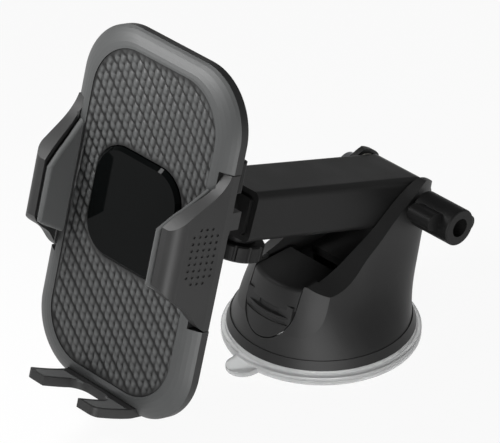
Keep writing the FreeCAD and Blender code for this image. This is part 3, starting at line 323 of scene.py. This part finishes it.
def rounded_outline(half_w, low, high, corner, per_side, per_top, per_corner):
    """Points of a rounded rectangle, the same number on each stretch whatever its size."""
    stretch = [
        ((half_w, low + corner), (half_w, high - corner), (half_w - corner, high - corner), 0, per_side),
        ((half_w - corner, high), (corner - half_w, high), (corner - half_w, high - corner), 90, per_top),
        ((-half_w, high - corner), (-half_w, low + corner), (corner - half_w, low + corner), 180, per_side),
        ((corner - half_w, low), (half_w - corner, low), (half_w - corner, low + corner), 270, per_top),
    ]
    points = []
    for start, end, hub, turn, count in stretch:
        for i in range(count):
            t = i / count
            points.append((start[0] + (end[0] - start[0]) * t, start[1] + (end[1] - start[1]) * t))
        for i in range(per_corner):
            a = math.radians(turn + 90 * i / per_corner)
            points.append((hub[0] + corner * math.cos(a), hub[1] + corner * math.sin(a)))
    return points


def twill(x, u, settings):
    """Height of the moulded cloth at a point, in millimetres, and the same from 0 to 1.

    Ropes run down to the right in pairs: the valley between two pairs is deep, the one inside a
    pair is shallow, and the stitches of neighbours are half a stitch apart."""
    across = (x * settings.rope_rise + u * settings.rope_run) / settings.rope_pitch
    row = math.floor(across)
    over = across - row
    along = (x * settings.rope_run - u * settings.rope_rise) / settings.stitch + settings.lag * row
    deep, shallow = 1.0, 0.4
    below, above = (deep, shallow) if row % 2 == 0 else (shallow, deep)
    barrel = 1 - below * (1 - over) ** 4 - above * over ** 4
    # a stitch leans over its rope, and the pit at its end is deepest at the rope's lower side
    beat = 0.5 - 0.5 * math.cos(2 * math.pi * (along + 0.35 * (over - 0.5)))
    pit = (1 - beat) ** 2 * (1 - 0.6 * over)
    share = max(0.0, min(1.0, barrel * (1 - 0.85 * pit)))
    return settings.relief * (share - 1), share


class MOUNT_OT_weave_panel(bpy.types.Operator):
    """Panel moulded as twill cloth, with the window for the trigger"""
    bl_idname = "mount.weave_panel"
    bl_label = "Woven panel"

    def execute(self, context):
        settings = context.scene.mount_weave
        rings, runout = PANEL_RINGS, PANEL_RINGS / RIM_RINGS
        inner = rounded_outline(*TRIGGER_WINDOW, *OUTLINE_STEPS)
        outer = rounded_outline(*PANEL_OUTLINE, *OUTLINE_STEPS)
        count = len(inner)
        points, faces, relief = [], [], []
        for k in range(rings + 1):
            t = k / rings
            for (x0, u0), (x1, u1) in zip(inner, outer):
                x, u = x0 + (x1 - x0) * t, u0 + (u1 - u0) * t
                depth, share = twill(x, u, settings)
                rim = min(1.0, runout * t, runout * (1 - t))
                points.append(cradle(x, u, PANEL_FACE + depth * rim))
                # relief also sets painted shade: the pits, and the runout towards each rim, take the dark bed
                # colour
                relief.append(share * rim + 0.3 * (1 - rim))
        for k in range(rings):
            for n in range(count):
                a, b = k * count + n, k * count + (n + 1) % count
                faces.append((a, a + count, b + count, b))
        # turned-down rims and a flat back close the panel; their low relief gives them the dark bed colour as
        # painted shade
        last = rings * count
        back = len(points)
        for ring_start, outline in ((0, inner), (last, outer)):
            for x, u in outline:
                points.append(cradle(x, u, PANEL_BACK))
                relief.append(0.1)
        for n in range(count):
            m = (n + 1) % count
            faces.append((n, m, back + m, back + n))
            faces.append((last + m, last + n, back + count + n, back + count + m))
            faces.append((back + n, back + m, back + count + m, back + count + n))
        piece = solid("woven_panel", points, faces, "cradle", ["weave_panel"], "weave_plastic", 60)
        layer = piece.data.attributes.new("relief", "FLOAT", "POINT")
        layer.data.foreach_set("value", relief)
        return {"FINISHED"}


# ------------------------------------------------------------------ suction pad
GEL_RADIUS = 34.0                       # mm
TAB_HALF, TAB_REACH = 5.5, 41.2         # mm: half the tab's width, and its tip from the pad's middle
TAB_TURN = math.radians(-92)            # the way the tab points
TAB_SPREAD = math.radians(9.3)          # half the angle in which the tab leaves the round
TAB_FAN, TAB_FAN_STEPS = 9.6, 14        # degrees and points on each side, for a smooth tip


class MOUNT_OT_suction_pad(bpy.types.Operator):
    """Clear gel pad with its raised lip and pull tab"""
    bl_idname = "mount.suction_pad"
    bl_label = "Suction pad"

    def execute(self, context):
        around = []
        steps = 144
        for n in range(steps):
            around.append(2 * math.pi * n / steps)
        around += [TAB_TURN % (2 * math.pi) + math.radians(TAB_FAN * k / TAB_FAN_STEPS)
                   for k in range(-TAB_FAN_STEPS, TAB_FAN_STEPS + 1)]
        around = sorted(set(round(a % (2 * math.pi), 5) for a in around))

        def outline(angle, plain):
            off = (angle - TAB_TURN + math.pi) % (2 * math.pi) - math.pi
            if abs(off) > TAB_SPREAD:
                return plain
            hub = TAB_REACH - TAB_HALF
            side = TAB_HALF / max(abs(math.sin(off)), 1e-6)
            if side * math.cos(off) < hub:
                return max(plain, side)
            half = hub * math.cos(off)
            return max(plain, half + math.sqrt(max(0, TAB_HALF ** 2 - (hub * math.sin(off)) ** 2)))

        # (radius, height, whether the tab widens this ring)
        profile = [(0.02, 0.0, 0), (14, 0.0, 0), (28, 0.0, 0), (33.2, 0.0, 1), (33.8, 0.25, 1),
                   (34.0, 0.7, 1),
                   (34.0, 1.5, 1), (33.9, 1.85, 1), (33.5, 2.0, 1), (34.0, 2.05, 0), (34.0, 2.7, 0),
                   (33.8, 3.1, 0), (33.2, 3.3, 0), (32.7, 3.3, 0), (32.5, 3.5, 0), (32.5, 4.5, 0),
                   (32.3, 4.78, 0), (31.8, 4.8, 0), (24.0, 4.8, 0), (12.4, 4.8, 0), (12.3, 4.6, 0),
                   (12.3, 1.3, 0), (0.02, 1.25, 0)]
        points, faces = [], []
        for r, z, tabbed in profile:
            for a in around:
                out = r
                if tabbed:
                    out = r * outline(a, GEL_RADIUS) / GEL_RADIUS
                points.append(Vector((out * math.cos(a), out * math.sin(a), z)) * MM)
        count = len(around)
        for k in range(len(profile) - 1):
            for n in range(count):
                m = (n + 1) % count
                faces.append((k * count + n, k * count + m, (k + 1) * count + m, (k + 1) * count + n))
        faces.append(tuple(reversed(range(count))))
        last = (len(profile) - 1) * count
        faces.append(tuple(range(last, last + count)))
        solid("gel_pad", points, faces, "base", ["suction_pad"], "clear_gel", 40)
        return {"FINISHED"}


# ------------------------------------------------------------------ rubber linings
LINING_HUB = 4.0, 3.75                  # mm up and out: the point that the outline shrinks towards
GRIP_X, GRIP_LEAN = 28.5, 4.2 / 15.4    # mm across at the lining's root, and its lean inward per mm out
GRIP_ROOT = 3.3                         # mm out, where the lean starts


def spline_points(points, steps):
    """Catmull-Rom curve through given points."""
    out = []
    ends = [points[0]] + list(points) + [points[-1]]
    for p0, p1, p2, p3 in zip(ends, ends[1:], ends[2:], ends[3:]):
        for i in range(steps):
            t = i / steps
            out.append(tuple(
                0.5 * (2 * b + (c - a) * t + (2 * a - 5 * b + 4 * c - d) * t * t
                       + (3 * b - a - 3 * c + d) * t ** 3)
                for a, b, c, d in zip(p0, p1, p2, p3)))
    out.append(points[-1])
    return out


def lining_outline(inset):
    """Side view of a clamp's lining as points (height, depth), shrunk by an inset."""
    low = spline_points([(-15, 3.75), (-12.4, 9.5), (-10, 15), (-8, 18.7)], 6)
    high = spline_points([(11, 18.7), (15.5, 14), (18.6, 10), (24.2, 3.75)], 6)
    points = low + high
    hub_u, hub_d = LINING_HUB
    out = []
    for u, d in points:
        away = math.hypot(u - hub_u, d - hub_d)
        k = (away - inset) / away
        out.append((hub_u + (u - hub_u) * k, max(hub_d, hub_d + (d - hub_d) * k)))
    return out


class MOUNT_OT_clamp_linings(bpy.types.Operator):
    """Rubber lining inside each clamp arm, with rounded rims"""
    bl_idname = "mount.clamp_linings"
    bl_label = "Clamp linings"

    def execute(self, context):
        def face_x(d, deep):
            return GRIP_X - GRIP_LEAN * (d - GRIP_ROOT) + deep

        for side, sign in (("left", -1), ("right", 1)):
            points, faces = [], []
            # (inset of the outline, depth under the gripping face)
            layers = [(1.5, 0.0), (0.85, 0.16), (0.35, 0.55), (0.05, 1.1), (0.0, 1.6), (0.15, 2.0),
                      (0.5, 2.15),
                      (1.6, 2.15), (1.7, 3.35)]
            for inset, deep in layers:
                for u, d in lining_outline(inset):
                    points.append(cradle(sign * face_x(d, deep), u, d))
            count = len(lining_outline(0))
            for k in range(len(layers) - 1):
                for n in range(count):
                    m = (n + 1) % count
                    quad = (k * count + n, k * count + m, (k + 1) * count + m, (k + 1) * count + n)
                    faces.append(quad if sign > 0 else quad[::-1])
            first, last = tuple(range(count)), tuple(range((len(layers) - 1) * count, len(layers) * count))
            faces.append(first[::-1] if sign > 0 else first)
            faces.append(last if sign > 0 else last[::-1])
            solid(f"{side}_lining", points, faces, f"{side}_clamp", [f"{side}_clamp_pad"], "grip_rubber", 40)
        return {"FINISHED"}


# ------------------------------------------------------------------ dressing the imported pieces
class MOUNT_OT_base_finish(bpy.types.Operator):
    """Materials and edge radii of the base, lever and pivot"""
    bl_idname = "mount.base_finish"
    bl_label = "Base"

    def execute(self, context):
        for node in ("skirt_ring", "yoke_body", "suction_lever", "pivot_knob"):
            dress(node, 0.25)
        for node in ("base_screws", "pivot_bolt", "friction_washers", "plunger_spring", "plunger",
                     "lever_pin"):
            dress(node)
        return {"FINISHED"}


class MOUNT_OT_arm_finish(bpy.types.Operator):
    """Materials and edge radii of the arm and ball joint"""
    bl_idname = "mount.arm_finish"
    bl_label = "Arm"

    def execute(self, context):
        for node in ("outer_tube", "inner_slider", "lock_knob", "ball_nut"):
            dress(node, 0.2)
        for node in ("clamp_shoe", "ball_stud", "ball_liner", "pressure_ring"):
            dress(node)
        return {"FINISHED"}


class MOUNT_OT_cradle_finish(bpy.types.Operator):
    """Materials and edge radii of the cradle, clamps and foot"""
    bl_idname = "mount.cradle_finish"
    bl_label = "Cradle"

    def execute(self, context):
        for node in ("left_clamp_arm", "right_clamp_arm", "foot_bracket"):
            dress(node, 0.8)
        for node in ("front_bezel", "rear_cover", "trigger_pad", "left_release_button",
                     "right_release_button"):
            dress(node, 0.2)
        for node in ("chassis_plate", "cover_screws", "pinion", "pinion_pin", "trigger_spring",
                     "left_release_spring", "right_release_spring", "foot_pads"):
            dress(node)
        return {"FINISHED"}


# ------------------------------------------------------------------ stage
FLOOR_HALF, FLOOR_DROP = 6.0, 0.0002    # metres: half the floor's side, and its gap under the mount
PANEL_LIFT = Vector((0, 0, 0.03))       # metres: how far over its middle the panel is lit


def area_light(name, place, aim, size, power):
    lamp = bpy.data.lights.new(name, "AREA")
    lamp.shape, lamp.size, lamp.size_y = "RECTANGLE", size[0], size[1]
    lamp.energy = power
    holder = bpy.data.objects.new(name, lamp)
    bpy.context.scene.collection.objects.link(holder)
    holder.location = place
    holder.rotation_euler = (Vector(aim) - Vector(place)).to_track_quat("-Z", "Y").to_euler()
    return holder


class MOUNT_OT_stage(bpy.types.Operator):
    """Pale floor, soft studio light and the camera"""
    bl_idname = "mount.stage"
    bl_label = "Stage"

    def execute(self, context):
        settings = context.scene.mount_stage
        scene = context.scene
        scene.view_settings.view_transform = "Standard"
        self.lay_floor(scene)
        self.light_world(scene, settings)
        low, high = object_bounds()
        middle = (low + high) / 2
        panel, lever = centre_of("weave_panel"), centre_of("suction_lever")
        area_light("near key", (-0.07, -0.165, 0.225), panel + PANEL_LIFT, (0.12, 0.08), 0.5)
        area_light("side fill", (1.15, -0.75, 0.22), middle - PANEL_LIFT, (0.8, 0.5), 8)
        area_light("rim", (0.2, 1.3, 0.6), middle, (1.0, 0.6), 0.8)
        area_light("base light", (0.16, -0.24, 0.05), lever, (0.1, 0.06), 0.22)
        self.place_camera(scene, settings, middle)
        return {"FINISHED"}

    def lay_floor(self, scene):
        half = FLOOR_HALF
        corners = [(-half, -half, 0), (half, -half, 0), (half, half, 0), (-half, half, 0)]
        mesh = bpy.data.meshes.new("floor")
        mesh.from_pydata(corners, [], [(0, 1, 2, 3)])
        floor = bpy.data.objects.new("floor", mesh)
        scene.collection.objects.link(floor)
        floor.location.z = -FLOOR_DROP
        paper, tree, shader = surface("white paper", Base_Color=linear("#f4f4f4"), Roughness=0.9,
                                      Specular_IOR_Level=0.0)
        # seen by the camera or in gloss and gel, the paper is mostly plain white, and keeps a faint shadow
        path = add(tree, "ShaderNodeLightPath")
        glossy = add(tree, "ShaderNodeMath", {"operation": "MAXIMUM"},
                     {0: path.outputs["Is Camera Ray"], 1: path.outputs["Is Glossy Ray"]})
        seen = add(tree, "ShaderNodeMath", {"operation": "MAXIMUM"},
                   {0: glossy.outputs["Value"], 1: path.outputs["Is Transmission Ray"]})
        share = add(tree, "ShaderNodeMath", {"operation": "MULTIPLY", 1: WHITE_SHARE},
                    {0: seen.outputs["Value"]})
        glow = add(tree, "ShaderNodeEmission", {"Color": linear("#ffffff"), "Strength": 1.0})
        mix = add(tree, "ShaderNodeMixShader", None, {0: share.outputs["Value"], 1: shader.outputs["BSDF"],
                                                      2: glow.outputs["Emission"]})
        sheet = next(node for node in tree.nodes if node.type == "OUTPUT_MATERIAL")
        tree.links.new(mix.outputs["Shader"], sheet.inputs["Surface"])
        mesh.materials.append(paper)
        floor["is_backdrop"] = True

    def light_world(self, scene, settings):
        world = bpy.data.worlds.new("studio")
        scene.world = world
        world.use_nodes = True
        tree = world.node_tree
        tree.nodes.clear()
        path = add(tree, "ShaderNodeLightPath")
        seen = add(tree, "ShaderNodeMath", {"operation": "MAXIMUM"},
                   {0: path.outputs["Is Camera Ray"], 1: path.outputs["Is Transmission Ray"]})
        level = add(tree, "ShaderNodeMapRange", {"To Max": 1.0}, {"Value": seen.outputs["Value"]})
        # the studio is dimmer overhead than at its walls
        place = add(tree, "ShaderNodeTexCoord")
        height = add(tree, "ShaderNodeSeparateXYZ", None, {"Vector": place.outputs["Generated"]})
        walls, overhead = settings.ambient * 1.25, settings.ambient * 0.45
        dim = add(tree, "ShaderNodeMapRange", {"To Min": walls, "To Max": overhead},
                  {"Value": height.outputs["Z"]})
        tree.links.new(dim.outputs["Result"], level.inputs["To Min"])
        sky = add(tree, "ShaderNodeBackground", {"Color": linear("#ffffff")},
                  {"Strength": level.outputs["Result"]})
        add(tree, "ShaderNodeOutputWorld", None, {"Surface": sky.outputs["Background"]})

    def place_camera(self, scene, settings, middle):
        lens = bpy.data.cameras.new("camera")
        lens.lens, lens.sensor_width = settings.lens, 36.0
        lens.clip_start, lens.clip_end = 0.05, 50.0
        camera = bpy.data.objects.new("camera", lens)
        scene.collection.objects.link(camera)
        a, e = math.radians(settings.azimuth), math.radians(settings.elevation)
        back = Vector((math.sin(a) * math.cos(e), -math.cos(a) * math.cos(e), math.sin(e)))
        aim = middle + Vector(settings.aim) * MM
        camera.location = aim + back * settings.distance
        camera.rotation_mode = "QUATERNION"
        camera.rotation_quaternion = (-back).to_track_quat("-Z", "Y")
        scene.camera = camera


class MOUNT_PT_panel(bpy.types.Panel):
    """Lists the steps that dress the mount"""
    bl_idname = "MOUNT_PT_panel"
    bl_label = "Phone mount"
    bl_space_type = "VIEW_3D"
    bl_region_type = "UI"
    bl_category = "Phone mount"

    def draw(self, context):
        column = self.layout.column(align=True)
        for step in STEPS:
            column.operator(step.bl_idname)
        for group in (context.scene.mount_weave, context.scene.mount_plastic, context.scene.mount_stage):
            for key in group.bl_rna.properties.keys():
                if key not in ("rna_type", "name"):
                    self.layout.prop(group, key)


STEPS = (MOUNT_OT_base_finish, MOUNT_OT_arm_finish, MOUNT_OT_cradle_finish, MOUNT_OT_weave_panel,
         MOUNT_OT_suction_pad, MOUNT_OT_clamp_linings, MOUNT_OT_stage)
GROUPS = (("mount_weave", WeaveSettings), ("mount_plastic", PlasticSettings), ("mount_stage", StageSettings))


def register():
    for _, group in GROUPS:
        bpy.utils.register_class(group)
    for name, group in GROUPS:
        setattr(bpy.types.Scene, name, PointerProperty(type=group))
    for step in STEPS + (MOUNT_PT_panel,):
        bpy.utils.register_class(step)


def unregister():
    for step in reversed(STEPS + (MOUNT_PT_panel,)):
        bpy.utils.unregister_class(step)
    for name, group in reversed(GROUPS):
        delattr(bpy.types.Scene, name)
        bpy.utils.unregister_class(group)


def main():
    register()
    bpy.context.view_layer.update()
    make_materials(bpy.context.scene.mount_plastic, bpy.context.scene.mount_weave)
    for step in STEPS:
        group, action = step.bl_idname.split(".")
        getattr(getattr(bpy.ops, group), action)()


if __name__ == "__main__":
    main()
